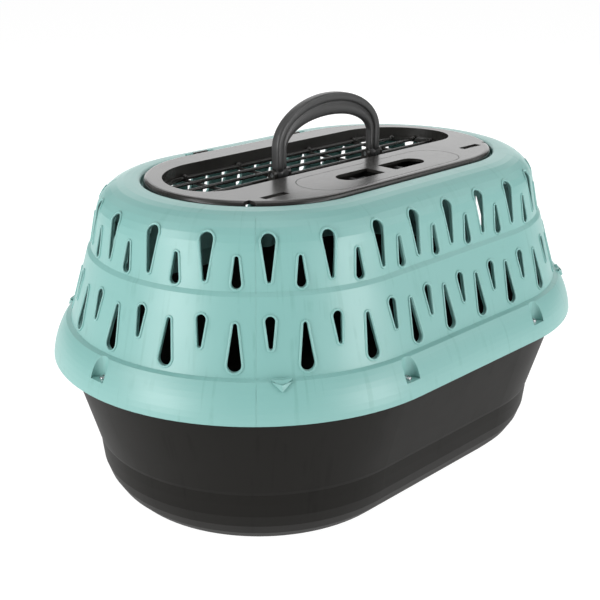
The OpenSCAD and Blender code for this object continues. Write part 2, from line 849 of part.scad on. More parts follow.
module latch_screws() color([0.75, 0.76, 0.77])
    translate([0, -latch_y, 0])
        for (x = [-post_x, post_x])
            for (y = [-post_y, post_y])
                translate([x, y, 0]) {
                    translate([0, 0, tray_z - tray_t - 1.8])
                        cylinder(r1 = latch_head_r * 0.7, r2 = latch_head_r, h = 1.8);
                    translate([0, 0, tray_z - tray_t])
                        cylinder(r = latch_screw_r, h = latch_screw_len);
                }

// One latch slide, drawn for the side of +X: hub, finger pad, low arm, riser and bolt
module latch_slide() {
    hub_x = pad_x - pad_t;
    difference() {
        union() {
            translate([hub_in, -hub_w / 2, hub_z])
                cube([hub_x - hub_in, hub_w, bolt_top - hub_z]);
            translate([hub_x, -8.5, arm_z])
                cube([pad_t, 17, bolt_top + 1 - arm_z]);
            translate([hub_x, -arm_w / 2, arm_z])
                cube([riser_x + 4 - hub_x, arm_w, arm_t]);
            translate([riser_x, -arm_w / 2, arm_z])
                cube([4, arm_w, bolt_top - arm_z]);
            translate([riser_x, 0, bolt_z])
                linear_extrude(bolt_t)
                    polygon([[0, -bolt_w / 2], [bolt_reach - riser_x - 3, -bolt_w / 2],
                             [bolt_reach - riser_x, 0], [bolt_reach - riser_x, bolt_w / 2],
                             [0, bolt_w / 2]]);
        }
        translate([hub_in - cut, 0, spring_z])
            rotate([0, 90, 0])
                cylinder(r = spring_r + wire_r + 0.4, h = latch_travel + 3 + cut);
    }
}

module latch_slide_right() color([0.22, 0.22, 0.22])
    translate([0, -latch_y, 0])
        latch_slide();

module latch_slide_left() color([0.22, 0.22, 0.22])
    translate([0, -latch_y, 0])
        mirror([1, 0, 0])
            latch_slide();

// Rings per turn of the latch spring, and points per ring
turn_rings = 10;
ring_points = 6;
spring_pitch = 2 * (spring_half - wire_r) / spring_turns;

function coil_point(i, j) =
    let (
        turn = 360 * i / turn_rings,
        around = 360 * j / ring_points,
        x = -spring_half + wire_r + spring_pitch * i / turn_rings + wire_r * sin(around),
        r = spring_r + wire_r * cos(around)
    )
    [x, r * cos(turn), r * sin(turn)];

// One unbroken wire wound round X
module latch_spring() color([0.7, 0.7, 0.7]) {
    rings = turn_rings * spring_turns;
    points = [for (i = [0 : rings]) for (j = [0 : ring_points - 1]) coil_point(i, j)];
    skin = [
        for (i = [0 : rings - 1])
            for (j = [0 : ring_points - 1])
                let (
                    a = i * ring_points + j,
                    b = i * ring_points + (j + 1) % ring_points
                )
                each [[a, b, a + ring_points], [b, b + ring_points, a + ring_points]]
    ];
    caps = [
        [for (j = [ring_points - 1 : -1 : 0]) j],
        [for (j = [0 : ring_points - 1]) rings * ring_points + j]
    ];
    translate([0, -latch_y, spring_z])
        polyhedron(points = points, faces = concat(skin, caps));
}

// Guide that clips up into a slot of the lid and carries a bolt
module bolt_guide(side) color([0.2, 0.2, 0.2])
    translate([side * slot_x, -latch_y, 0])
        difference() {
            union() {
                translate([-11, -bolt_w / 2 - 2.4, bolt_z - 1.8])
                    cube([22, bolt_w + 4.8, lid_under - bolt_z + 1.8]);
                translate([-slot_len / 2 + 0.3, -slot_w / 2 + 0.3, lid_under - cut])
                    cube([slot_len - 0.6, slot_w - 0.6, lid_t - 1.4 + cut]);
            }
            translate([-slot_len, -bolt_w / 2 - 0.3, bolt_z - 0.3])
                cube([2 * slot_len, bolt_w + 0.6, bolt_t + 0.6]);
        }

module bolt_guide_left() bolt_guide(-1);
module bolt_guide_right() bolt_guide(1);

lower_tub();
upper_shell();
case_screws();
lid_frame();
window_grille();
hinge_pin_left();
hinge_pin_right();
handle();
handle_pin_left();
handle_pin_right();
latch_cover();
latch_tray();
latch_slide_left();
latch_slide_right();
latch_spring();
latch_screws();
bolt_guide_left();
bolt_guide_right();
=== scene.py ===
"""A plastic pet keeper: a dark tub, a vented blue-green shell and a lid with a folding handle."""

from __future__ import annotations

import logging
import math
from collections.abc import Callable
from dataclasses import dataclass
from enum import Enum
from functools import partial

import bmesh
import bpy
from mathutils import Matrix, Vector


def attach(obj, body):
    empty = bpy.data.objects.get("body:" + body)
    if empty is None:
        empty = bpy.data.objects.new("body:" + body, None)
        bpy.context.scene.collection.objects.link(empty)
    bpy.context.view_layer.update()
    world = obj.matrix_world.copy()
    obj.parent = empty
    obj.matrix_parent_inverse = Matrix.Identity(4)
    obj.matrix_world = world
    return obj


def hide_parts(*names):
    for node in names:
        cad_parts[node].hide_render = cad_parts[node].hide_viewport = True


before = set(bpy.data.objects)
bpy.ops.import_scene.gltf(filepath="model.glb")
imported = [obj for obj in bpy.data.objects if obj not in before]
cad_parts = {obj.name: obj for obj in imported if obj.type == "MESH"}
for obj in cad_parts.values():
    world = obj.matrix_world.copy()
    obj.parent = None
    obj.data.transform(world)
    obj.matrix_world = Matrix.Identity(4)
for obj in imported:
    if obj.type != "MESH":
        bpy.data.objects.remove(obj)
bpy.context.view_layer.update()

LOG = logging.getLogger("pet_keeper")
MM = 0.001
# the centres of the case's round ends stand this far from its middle, in mm
END_X = 80.0
# points closer than this, in metres, are made one
WELD = 1e-7
WHITE = (1.0, 1.0, 1.0, 1.0)

Point = tuple[float, float]
Colour = tuple[float, float, float, float]


def linear(hex_code: str) -> Colour:
    """Turn an sRGB hex colour into a linear one.

    Args:
        hex_code: Six hex digits.

    Returns:
        The linear colour, with an alpha of 1.
    """
    parts = [int(hex_code[i : i + 2], 16) / 255 for i in (0, 2, 4)]
    made = [c / 12.92 if c <= 0.04045 else ((c + 0.055) / 1.055) ** 2.4 for c in parts]
    return (made[0], made[1], made[2], 1.0)


def add_node(
    tree: bpy.types.NodeTree,
    kind: str,
    settings: dict[str, object] | None = None,
    links: dict[str | int, bpy.types.NodeSocket] | None = None,
) -> bpy.types.Node:
    """Add a node with its settings and the links into it.

    Args:
        tree: The tree that takes the node.
        kind: The node's type name.
        settings: Values by socket name, or by property name.
        links: Sockets that feed the node, by the name or number of the socket they feed.

    Returns:
        The new node.
    """
    node = tree.nodes.new(kind)
    for name, value in (settings or {}).items():
        if name in node.inputs:
            node.inputs[name].default_value = value
        else:
            setattr(node, name, value)
    for key, socket in (links or {}).items():
        tree.links.new(socket, node.inputs[key])
    return node


def new_material(name: str) -> bpy.types.Material:
    """Make a material with an empty node tree."""
    made = bpy.data.materials.new(name)
    made.use_nodes = True
    made.node_tree.nodes.clear()
    return made


class Level(Enum):
    """How coarse the moulded surface of a plastic is, in mm between its grains.

    The real grain is a few tenths of a millimetre. It is drawn coarser so that it shows.
    """

    POLISHED = 2.5
    SATIN = 1.2
    GRAINED = 0.9


@dataclass(frozen=True)
class MouldedPlastic:
    """Injection-moulded plastic: even colour, a soft sheen and faint flow marks.

    The marks are broad patches, where the melt slowed in the mould, and upright streaks,
    where it ran up the sides. Both show only as a slightly deeper colour and a faint wave.
    """

    name: str
    hex_code: str
    mark_hex: str
    roughness: float
    level: Level = Level.SATIN
    gloss: float = 0.5
    ior: float = 1.49
    # how much the roughness strays to either side
    uneven: float = 0.03
    # corners catch the light over this radius
    edge: float = 0.5 * MM
    grain_height: float = 0.02 * MM
    flow_size: float = 45 * MM
    flow_height: float = 0.05 * MM
    flow_twist: float = 1.8
    # noise below the first value is bare, and above the second one fully marked
    flow_range: Point = (0.45, 0.62)
    streak_size: float = 5 * MM
    streak_range: Point = (0.55, 0.64)
    # how fast the streaks change round an end and up the side, against along the case
    streak_round: float = 0.15
    streak_up: float = 0.06

    def streak_place(
        self, tree: bpy.types.NodeTree, place: bpy.types.NodeSocket
    ) -> bpy.types.NodeSocket:
        """Find a coordinate that runs round the case and hardly changes up its sides.

        Args:
            tree: The tree that takes the nodes.
            place: The object coordinates.

        Returns:
            The coordinate.
        """
        parts = add_node(tree, "ShaderNodeSeparateXYZ", links={"Vector": place}).outputs
        along = add_node(
            tree,
            "ShaderNodeClamp",
            {"Min": -END_X * MM, "Max": END_X * MM},
            {"Value": parts["X"]},
        )
        centre = add_node(
            tree, "ShaderNodeCombineXYZ", links={"X": along.outputs["Result"]}
        ).outputs["Vector"]
        flat = add_node(tree, "ShaderNodeCombineXYZ", links={"X": parts["X"], "Y": parts["Y"]})
        out = add_node(
            tree,
            "ShaderNodeVectorMath",
            {"operation": "SUBTRACT"},
            {0: flat.outputs["Vector"], 1: centre},
        )
        way = add_node(
            tree, "ShaderNodeVectorMath", {"operation": "NORMALIZE"}, {0: out.outputs["Vector"]}
        )
        rim = add_node(
            tree,
            "ShaderNodeVectorMath",
            {"operation": "SCALE", "Scale": self.streak_round},
            {0: way.outputs["Vector"]},
        )
        height = add_node(tree, "ShaderNodeCombineXYZ", links={"Z": parts["Z"]})
        low = add_node(
            tree,
            "ShaderNodeVectorMath",
            {"operation": "SCALE", "Scale": self.streak_up},
            {0: height.outputs["Vector"]},
        )
        around = add_node(
            tree,
            "ShaderNodeVectorMath",
            {"operation": "ADD"},
            {0: rim.outputs["Vector"], 1: centre},
        )
        upright = add_node(
            tree,
            "ShaderNodeVectorMath",
            {"operation": "ADD"},
            {0: around.outputs["Vector"], 1: low.outputs["Vector"]},
        )
        return upright.outputs["Vector"]

    def add_marks(
        self,
        tree: bpy.types.NodeTree,
        place: bpy.types.NodeSocket,
        flow: bpy.types.NodeSocket,
    ) -> bpy.types.NodeSocket:
        """Mark the plastic's colour with streaks where the patches are strong.

        Args:
            tree: The tree that takes the nodes.
            place: The object coordinates.
            flow: Strength of the patches.

        Returns:
            The marked colour.
        """
        streaks = add_node(
            tree,
            "ShaderNodeTexNoise",
            {"Scale": 1 / self.streak_size, "Detail": 2.0, "Roughness": 0.5, "Distortion": 0.0},
            {"Vector": self.streak_place(tree, place)},
        )
        lines = add_node(
            tree,
            "ShaderNodeMapRange",
            {"From Min": self.streak_range[0], "From Max": self.streak_range[1]},
            {"Value": streaks.outputs["Fac"]},
        )
        patches = add_node(
            tree,
            "ShaderNodeMapRange",
            {"From Min": self.flow_range[0], "From Max": self.flow_range[1]},
            {"Value": flow},
        )
        amount = add_node(
            tree,
            "ShaderNodeMath",
            {"operation": "MULTIPLY"},
            {0: lines.outputs["Result"], 1: patches.outputs["Result"]},
        )
        marks = add_node(
            tree, "ShaderNodeMix", {"data_type": "RGBA"}, {"Factor": amount.outputs["Value"]}
        )
        # the colour sockets share their names with those for numbers, so they go by number
        marks.inputs[6].default_value = linear(self.hex_code)
        marks.inputs[7].default_value = linear(self.mark_hex)
        return marks.outputs[2]

    def add_surface(
        self,
        tree: bpy.types.NodeTree,
        place: bpy.types.NodeSocket,
        flow: bpy.types.NodeSocket,
    ) -> bpy.types.NodeSocket:
        """Round the corners and raise the patches and the grain.

        Args:
            tree: The tree that takes the nodes.
            place: The object coordinates.
            flow: Strength of the patches.

        Returns:
            The surface's normal.
        """
        grain = add_node(
            tree,
            "ShaderNodeTexNoise",
            {"Scale": 1 / (self.level.value * MM), "Detail": 2.0},
            {"Vector": place},
        )
        rounded = add_node(tree, "ShaderNodeBevel", {"samples": 4, "Radius": self.edge})
        swirl = add_node(
            tree,
            "ShaderNodeBump",
            {"Strength": 1.0, "Distance": self.flow_height},
            {"Height": flow, "Normal": rounded.outputs["Normal"]},
        )
        fine = add_node(
            tree,
            "ShaderNodeBump",
            {"Strength": 1.0, "Distance": self.grain_height},
            {"Height": grain.outputs["Fac"], "Normal": swirl.outputs["Normal"]},
        )
        return fine.outputs["Normal"]

    def make(self) -> bpy.types.Material:
        """Build the material."""
        made = new_material(self.name)
        tree = made.node_tree
        place = add_node(tree, "ShaderNodeTexCoord").outputs["Object"]
        flow = add_node(
            tree,
            "ShaderNodeTexNoise",
            {
                "Scale": 1 / self.flow_size,
                "Detail": 3.0,
                "Roughness": 0.45,
                "Distortion": self.flow_twist,
            },
            {"Vector": place},
        ).outputs["Fac"]
        rough = add_node(
            tree,
            "ShaderNodeMapRange",
            {"To Min": self.roughness - self.uneven, "To Max": self.roughness + self.uneven},
            {"Value": flow},
        )
        shader = add_node(
            tree,
            "ShaderNodeBsdfPrincipled",
            {"IOR": self.ior, "Specular IOR Level": self.gloss},
            {
                "Base Color": self.add_marks(tree, place, flow),
                "Roughness": rough.outputs["Result"],
                "Normal": self.add_surface(tree, place, flow),
            },
        )
        add_node(tree, "ShaderNodeOutputMaterial", links={"Surface": shader.outputs["BSDF"]})
        return made


@dataclass(frozen=True)
class PlatedSteel:
    """Zinc-plated or drawn steel: grey, bright, with a slightly uneven gloss."""

    name: str
    hex_code: str
    roughness: float
    uneven: float = 0.06
    spot_size: float = 1.5 * MM
    edge: float = 0.15 * MM

    def make(self) -> bpy.types.Material:
        """Build the material."""
        made = new_material(self.name)
        tree = made.node_tree
        place = add_node(tree, "ShaderNodeTexCoord").outputs["Object"]
        spots = add_node(
            tree,
            "ShaderNodeTexNoise",
            {"Scale": 1 / self.spot_size, "Detail": 2.0},
            {"Vector": place},
        )
        rough = add_node(
            tree,
            "ShaderNodeMapRange",
            {"To Min": self.roughness - self.uneven, "To Max": self.roughness + self.uneven},
            {"Value": spots.outputs["Fac"]},
        )
        rounded = add_node(tree, "ShaderNodeBevel", {"samples": 4, "Radius": self.edge})
        shader = add_node(
            tree,
            "ShaderNodeBsdfPrincipled",
            {"Base Color": linear(self.hex_code), "Metallic": 1.0},
            {"Roughness": rough.outputs["Result"], "Normal": rounded.outputs["Normal"]},
        )
        add_node(tree, "ShaderNodeOutputMaterial", links={"Surface": shader.outputs["BSDF"]})
        return made


class Finish(Enum):
    """Every finish of the object."""

    SHELL = MouldedPlastic("satin_polypropylene_sea_green", "80B1AC", "79AAA4", 0.38, gloss=0.6)
    TUB = MouldedPlastic(
        "grained_polypropylene_charcoal", "1B1A18", "181715", 0.5, Level.GRAINED, gloss=0.1
    )
    LID = MouldedPlastic(
        "polished_polypropylene_graphite", "2E2D2B", "282725", 0.24, Level.POLISHED
    )
    HANDLE = MouldedPlastic("satin_polypropylene_graphite", "3C3C3C", "373737", 0.4)
    SLIDE = MouldedPlastic("satin_acetal_black", "262626", "222222", 0.4)
    SCREW = PlatedSteel("zinc_plated_steel", "C9CBCC", 0.28)
    PIN = PlatedSteel("drawn_steel_wire", "A9ABAD", 0.35)


DRESSED = {
    "lower_tub": Finish.TUB,
    "upper_shell": Finish.SHELL,
    "case_screws": Finish.SCREW,
    "lid_frame": Finish.LID,
    "window_grille": Finish.LID,
    "hinge_pin_left": Finish.PIN,
    "hinge_pin_right": Finish.PIN,
    "handle": Finish.HANDLE,
    "handle_pin_left": Finish.PIN,
    "handle_pin_right": Finish.PIN,
    "latch_cover": Finish.LID,
    "latch_tray": Finish.LID,
    "latch_slide_left": Finish.SLIDE,
    "latch_slide_right": Finish.SLIDE,
    "latch_spring": Finish.PIN,
    "latch_screws": Finish.SCREW,
    "bolt_guide_left": Finish.LID,
    "bolt_guide_right": Finish.LID,
}


def dress(node: str, finish: bpy.types.Material) -> None:
    """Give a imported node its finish."""
    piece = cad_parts[node]
    piece.data.materials.clear()
    piece.data.materials.append(finish)
    LOG.info("dressed %s with %s", node, finish.name)


@dataclass(frozen=True)
class CaseShape:
    """The outer side of the case that the trim follows, in mm.

    From the ground up it is a round flange, two straight bands with a step between them
    and a round shoulder. A radius counts from the centre of a round end.
    """

    flange_x: float = 115.864
    flange_z: float = 127.9
    flange_r: float = 60.0
    flange_top: float = 164.0
    # radius and height at the ends of the lower band, of the step and of the upper band
    lines: tuple[Point, ...] = (
        (159.589, 165.2),
        (143.019, 221.5),
        (140.019, 224.5),
        (134.221, 253.0),
    )
    shoulder_x: float = 104.823
    shoulder_z: float = 247.019
    shoulder_r: float = 30.0

    def side(self, z: float) -> Point:
        """Find the case's outer side at a height.

        Args:
            z: Height above the ground.

        Returns:
            The radius there, and how far the surface leans back, in radians.
        """
        if z <= self.flange_top:
            rise = z - self.flange_z
            radius = self.flange_x + math.sqrt(self.flange_r**2 - rise**2)
            return radius, math.asin(rise / self.flange_r)
        if z >= self.lines[-1][1]:
            rise = min(z - self.shoulder_z, self.shoulder_r)
            radius = self.shoulder_x + math.sqrt(self.shoulder_r**2 - rise**2)
            return radius, math.asin(rise / self.shoulder_r)
        (r0, z0), (r1, z1) = next(
            pair for pair in zip(self.lines, self.lines[1:]) if z <= pair[1][1]
        )
        part = (max(z, z0) - z0) / (z1 - z0)
        return r0 + (r1 - r0) * part, math.atan2(r0 - r1, z1 - z0)


def end_turn(end: int) -> float:
    """Find the way a round end faces, in radians: 1 is the right end and -1 the left one."""
    return 0.0 if end > 0 else math.pi


@dataclass(frozen=True)
class Spot:
    """A place on the case: on a round end by its angle, or on a straight side by its X.

    For a round end, end is 1 on the right and -1 on the left. For a straight side, it is
    1 at the back and -1 at the front.
    """

    end: int
    turn: float
    along: float | None = None

    def place(self, case: CaseShape, across: float, z: float, proud: float) -> Vector:
        """Find a point on the case.

        Args:
            case: The case's outer side.
            across: Distance beside the spot's middle, in mm.
            z: Height above the ground, in mm.
            proud: Distance outside the surface, in mm.

        Returns:
            The point, in metres.
        """
        radius, lean = case.side(z)
        if self.along is not None:
            out = radius + proud * math.cos(lean)
            point = Vector((self.along - self.end * across, self.end * out, 0.0))
        else:
            out = math.sqrt(radius**2 - across**2) + proud * math.cos(lean)
            point = Matrix.Rotation(self.turn, 3, "Z") @ Vector((out, across, 0.0))
            point.x += self.end * END_X
        point.z = z + proud * math.sin(lean)
        return point * MM


def verts_in(geom: list[object]) -> list[bmesh.types.BMVert]:
    """Pick the points out of what an operator returns."""
    return [g for g in geom if isinstance(g, bmesh.types.BMVert)]


def edges_between(
    geom: list[object], verts: list[bmesh.types.BMVert]
) -> list[bmesh.types.BMEdge]:
    """Pick the edges that join two of the points out of what an operator returns."""
    return [
        g for g in geom if isinstance(g, bmesh.types.BMEdge) and all(v in verts for v in g.verts)
    ]


def edges_at(verts: list[bmesh.types.BMVert]) -> list[bmesh.types.BMEdge]:
    """List the edges that meet the points, each once and always in the same order."""
    return list(dict.fromkeys(edge for vert in verts for edge in vert.link_edges))


def sweep(
    bm: bmesh.types.BMesh, corners: int, last: int, place: Callable[[int, int], Vector]
) -> None:
    """Sweep a closed cross-section through a row of places, with a cap at both ends.

    Args:
        bm: The mesh that takes it, with a number layer for points, named corner.
        corners: Number of points round the cross-section.
        last: Number of the last place. The first is 0.
        place: Gives a point from the number of its place and its number round the section.
    """
    mark = bm.verts.layers.int["corner"]
    verts = bmesh.ops.create_circle(bm, segments=corners, radius=1.0, cap_ends=True)["verts"]
    for i, vert in enumerate(verts):
        vert[mark] = i
    faces = list(dict.fromkeys(face for vert in verts for face in vert.link_faces))
    for step in range(last + 1):
        if step:
            grown = bmesh.ops.extrude_face_region(bm, geom=faces, use_keep_orig=step == 1)["geom"]
            verts = verts_in(grown)
            if step > 1:
                bmesh.ops.delete(bm, geom=[f for f in faces if f.is_valid], context="FACES_ONLY")
            faces = [g for g in grown if isinstance(g, bmesh.types.BMFace)]
        for vert in verts:
            vert.co = place(step, vert[mark])


def finish_piece(
    bm: bmesh.types.BMesh,
    name: str,
    body: str,
    finish: bpy.types.Material,
    smooth: bool = True,
) -> bpy.types.Object:
    """Turn a bmesh into a piece that rides on a body.

    Args:
        bm: The mesh, in metres and in place.
        name: Name of the piece.
        body: The body that carries it.
        finish: Its material.
        smooth: Whether its faces are shaded smooth.

    Returns:
        The piece.
    """
    bmesh.ops.remove_doubles(bm, verts=bm.verts, dist=WELD)
    bmesh.ops.recalc_face_normals(bm, faces=bm.faces)
    for face in bm.faces:
        face.smooth = smooth
    mesh = bpy.data.meshes.new(name)
    bm.to_mesh(mesh)
    bm.free()
    mesh.materials.append(finish)
    piece = bpy.data.objects.new(name, mesh)
    bpy.context.scene.collection.objects.link(piece)
    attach(piece, body)
    LOG.info("made %s, %d faces", name, len(mesh.polygons))
    return piece


@dataclass
class VentLips:
    """Raised lips round the vents, each a closed ring on the shell, in mm."""

    case: CaseShape
    turn: float = math.radians(19.6)
    per_quarter: float = 4.5
    pitch: float = 42.09
    # a vent's height and the radius of its wide end
    large: Point = (34.5, 5.4)
    small: Point = (23.5, 3.8)
    point_r: float = 1.6
    # heights of the vents' lower ends, on the lower and the upper band
    low_large: float = 168.8
    low_small: float = 184.8
    high_small: float = 226.3
    high_large: float = 230.8
    stations: int = 24
    # distance from the vent's edge and height over the shell, from the vent outwards
    section: tuple[Point, ...] = (
        (-0.12, -1.2),
        (-0.12, 0.35),
        (0.25, 0.8),
        (0.7, 0.9),
        (1.25, 0.85),
        (1.6, 0.5),
        (1.75, -0.6),
    )

    def row(self, between: bool) -> list[Spot]:
        """List the spots of one row of vents.

        Args:
            between: Whether the row stands between the spots of the other row.

        Returns:
            Every spot of the row.
        """
        shift = 0.5 if between else 0.0
        count = int(self.per_quarter - shift)
        sides = (-1.0, 0.0, 1.0) if between else (-1.5, -0.5, 0.5, 1.5)
        ends = [
            Spot(end, end_turn(end) + (i + shift) * self.turn)
            for end in (-1, 1)
            for i in range(-count - int(between), count + 1)
        ]
        return ends + [Spot(end, 0.0, k * self.pitch) for end in (-1, 1) for k in sides]

    def outline(self, step: int, size: Point, up: bool) -> tuple[Point, Point]:
        """Find a point on a vent's edge.

        Args:
            step: Number of the point round the edge.
            size: The vent's height and the radius of its wide end.
            up: Whether its narrow end points up.

        Returns:
            The point from the vent's foot, and the direction away from the vent.
        """
        height, wide = size
        lean = math.asin((wide - self.point_r) / (height - wide - self.point_r))
        # the wide end is the longer arc, so it takes a few more of the points
        wide_steps = self.stations // 2 + 2
        if step < wide_steps:
            angle = math.pi - lean + (math.pi + 2 * lean) * step / (wide_steps - 1)
            centre, radius = wide, wide
        else:
            left = self.stations - wide_steps
            angle = lean + (math.pi - 2 * lean) * (step - wide_steps) / (left - 1)
            centre, radius = height - self.point_r, self.point_r
        away = (math.cos(angle), math.sin(angle))
        across = radius * away[0]
        rise = centre + radius * away[1]
        if not up:
            rise, away = height - rise, (away[0], -away[1])
        return (across, rise), away

    def add_lip(
        self, bm: bmesh.types.BMesh, spot: Spot, foot: float, size: Point, up: bool
    ) -> None:
        """Add one lip.

        Args:
            bm: The mesh that takes it.
            spot: Its place round the case.
            foot: Height of the vent's lower end, in mm.
            size: The vent's height and the radius of its wide end.
            up: Whether its narrow end points up.
        """
        mark = bm.verts.layers.int["station"]
        verts = bmesh.ops.create_circle(bm, segments=self.stations, radius=1.0)["verts"]
        for i, vert in enumerate(verts):
            vert[mark] = i
        first = edges = edges_at(verts)
        for k, (offset, proud) in enumerate(self.section):
            if k:
                grown = bmesh.ops.extrude_edge_only(bm, edges=edges)["geom"]
                verts = verts_in(grown)
                edges = edges_between(grown, verts)
            for vert in verts:
                (across, rise), away = self.outline(vert[mark], size, up)
                vert.co = spot.place(
                    self.case, across + offset * away[0], foot + rise + offset * away[1], proud
                )
        bmesh.ops.bridge_loops(bm, edges=first + edges)

    def build(self, finish: bpy.types.Material) -> bpy.types.Object:
        """Build every lip as one piece."""
        bm = bmesh.new()
        bm.verts.layers.int.new("station")
        for spot in self.row(between=False):
            self.add_lip(bm, spot, self.low_large, self.large, True)
            self.add_lip(bm, spot, self.high_small, self.small, True)
        for spot in self.row(between=True):
            self.add_lip(bm, spot, self.low_small, self.small, False)
            self.add_lip(bm, spot, self.high_large, self.large, False)
        return finish_piece(bm, "vent_lips", "case", finish)


@dataclass
class MouldLines:
    """Hair-thin ridges down the shell where the slides of its mould met, in mm."""

    case: CaseShape
    turn: float = math.radians(45.0)
    low: float = 136.0
    high: float = 274.0
    steps: int = 70
    # distance beside the ridge's middle and height over the shell
    section: tuple[Point, ...] = ((-0.3, -0.3), (0.3, -0.3), (0.12, 0.09), (-0.12, 0.09))

    def place(self, spot: Spot, step: int, corner: int) -> Vector:
        """Find a point of a ridge.

        Args:
            spot: The ridge's place round the case.
            step: Number of the cross-section, from the lowest up.
            corner: Number of the point round the cross-section.

        Returns:
            The point, in metres.
        """
        across, proud = self.section[corner]
        z = self.low + (self.high - self.low) * step / self.steps
        return spot.place(self.case, across, z, proud)

    def build(self, finish: bpy.types.Material) -> bpy.types.Object:
        """Build the ridges as one piece."""
        bm = bmesh.new()
        bm.verts.layers.int.new("corner")
        for end in (-1, 1):
            for turn in (-self.turn, self.turn):
                spot = Spot(end, end_turn(end) + turn)
                sweep(bm, len(self.section), self.steps, partial(self.place, spot))
        return finish_piece(bm, "mould_lines", "case", finish)


@dataclass
class FlangeWedges:
    """Faceted wedges under the lower band, two on each round end, each pointing down."""

    case: CaseShape
    turn: float = math.radians(51.5)
    # distance beside the wedge's middle, height above the ground and height over the flange
    corners: tuple[tuple[float, float, float], ...] = (
        (-7.4, 163.9, 1.6),
        (0.0, 161.6, 2.9),
        (7.4, 163.9, 1.6),
        (0.0, 157.6, 1.7),
    )
    sunk: float = -1.0

    def add_wedge(self, bm: bmesh.types.BMesh, spot: Spot) -> None:
        """Add one wedge.

        Args:
            bm: The mesh that takes it.
            spot: Its place round the case.
        """
        verts = bmesh.ops.create_circle(bm, segments=len(self.corners), radius=1.0)["verts"]
        edges = edges_at(verts)
        for vert, (across, z, proud) in zip(verts, self.corners):
            vert.co = spot.place(self.case, across, z, proud)
        grown = bmesh.ops.extrude_edge_only(bm, edges=edges)["geom"]
        foot = verts_in(grown)
        for vert in foot:
            near = min(range(len(verts)), key=lambda i: (verts[i].co - vert.co).length)
            across, z, _ = self.corners[near]
            vert.co = spot.place(self.case, across, z, self.sunk)
        bmesh.ops.contextual_create(bm, geom=edges_between(grown, foot))
        bmesh.ops.contextual_create(bm, geom=edges)
        # a ridge from the top corner to the point makes two facets of the front
        bmesh.ops.connect_vert_pair(bm, verts=[verts[1], verts[3]])

    def build(self, finish: bpy.types.Material) -> bpy.types.Object:
        """Build the wedges as one piece."""
        bm = bmesh.new()
        for end in (-1, 1):
            for turn in (-self.turn, self.turn):
                self.add_wedge(bm, Spot(end, end_turn(end) + turn))
        return finish_piece(bm, "flange_wedges", "case", finish, smooth=False)


